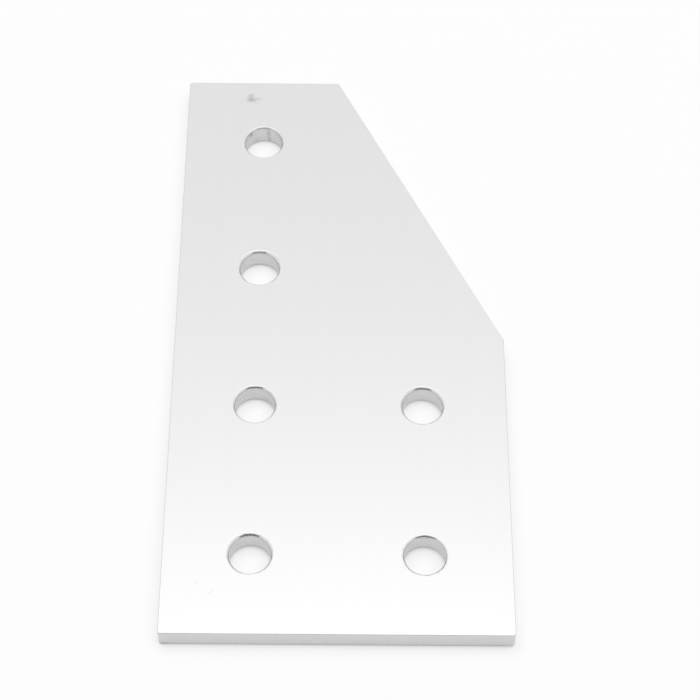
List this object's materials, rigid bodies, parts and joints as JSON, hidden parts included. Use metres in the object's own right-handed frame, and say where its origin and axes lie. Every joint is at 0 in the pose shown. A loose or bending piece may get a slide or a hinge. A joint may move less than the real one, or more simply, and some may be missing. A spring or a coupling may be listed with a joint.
{
  "type": "extrusion joining plate",
  "caption": "Flat metal joining plate for slotted extrusion, a long rectangle with one corner cut off by a slanting edge and round screw holes on a square grid.",
  "frame": {"origin": "centre of the bounding box, on the underside", "axes": "+Z out of the plate's top face, +Y along its length towards the narrow end, +X across it towards the side that is cut off"},
  "size_m": [0.04, 0.08, 0.0028],
  "materials": {
    "anodised_aluminium": "satin, clear anodised"
  },
  "bodies": {
    "root": {"joining_plate": "anodised_aluminium"}
  },
  "joints": []
}
